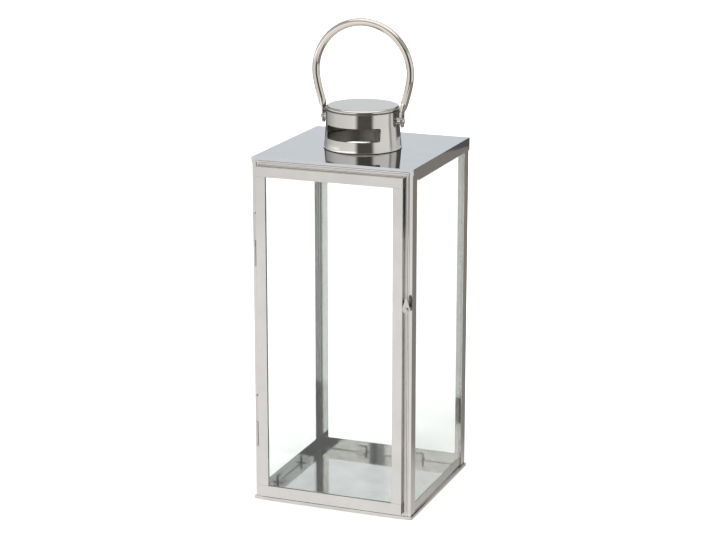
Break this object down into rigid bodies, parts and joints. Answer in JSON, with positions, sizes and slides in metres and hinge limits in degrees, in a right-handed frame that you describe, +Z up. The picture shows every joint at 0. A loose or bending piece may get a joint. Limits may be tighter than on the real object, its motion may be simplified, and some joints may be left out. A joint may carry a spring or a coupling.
{
  "type": "candle lantern",
  "caption": "Square glazed steel candle lantern with a hinged glass door, a turning catch, a vented round chimney cap and a swinging bail handle.",
  "frame": {"origin": "centre of the square underside of the base tray, on the surface the lantern stands on", "axes": "+Z up, -Y out of the door at the front, +X to the right as one faces the door"},
  "size_m": [0.1618, 0.1675, 0.4604],
  "materials": {
    "polished_steel": "polished stainless steel sheet, mirror bright with faint waviness",
    "brushed_steel": "stainless steel with a fine turned or brushed grain",
    "clear_glass": "clear float glass with greenish edges"
  },
  "bodies": {
    "case": {"base_tray": "polished_steel", "post_front_left": "polished_steel", "post_front_right": "polished_steel", "post_back_left": "polished_steel", "post_back_right": "polished_steel", "front_header": "polished_steel", "top_rail_left": "polished_steel", "top_rail_right": "polished_steel", "top_rail_back": "polished_steel", "roof_panel": "polished_steel", "chimney_collar": "brushed_steel", "chimney_cup": "brushed_steel", "glass_left": "clear_glass", "glass_right": "clear_glass", "glass_back": "clear_glass", "glass_clips_left": "brushed_steel", "glass_clips_right": "brushed_steel", "glass_clips_back": "brushed_steel", "hinge_upper_post_leaf": "polished_steel", "hinge_upper_pin": "brushed_steel", "hinge_lower_post_leaf": "polished_steel", "hinge_lower_pin": "brushed_steel", "latch_bush": "brushed_steel", "latch_rivet": "polished_steel", "bail_rivet_left": "polished_steel", "bail_rivet_right": "polished_steel", "bail_spacer_left": "brushed_steel", "bail_spacer_right": "brushed_steel"},
    "door": {"door_top_rail": "polished_steel", "door_bottom_rail": "polished_steel", "door_hinge_stile": "polished_steel", "door_latch_stile": "polished_steel", "door_glass": "clear_glass", "hinge_upper_door_leaf": "polished_steel", "hinge_lower_door_leaf": "polished_steel"},
    "catch": {"latch_catch": "polished_steel"},
    "bail": {"bail_handle": "polished_steel"}
  },
  "joints": [
    {"name": "door_swing", "type": "hinge", "parent": "case", "child": "door", "pos_m": [-0.077, -0.0812, 0.167], "axis": [0, 0, -1], "range_deg": [0, 150]},
    {"name": "latch_turn", "type": "hinge", "parent": "case", "child": "catch", "pos_m": [0.0759, -0.0851, 0.2078], "axis": [0, -1, 0], "continuous": true},
    {"name": "bail_swing", "type": "hinge", "parent": "case", "child": "bail", "pos_m": [0, 0, 0.3654], "axis": [1, 0, 0], "range_deg": [-104, 104]}
  ]
}
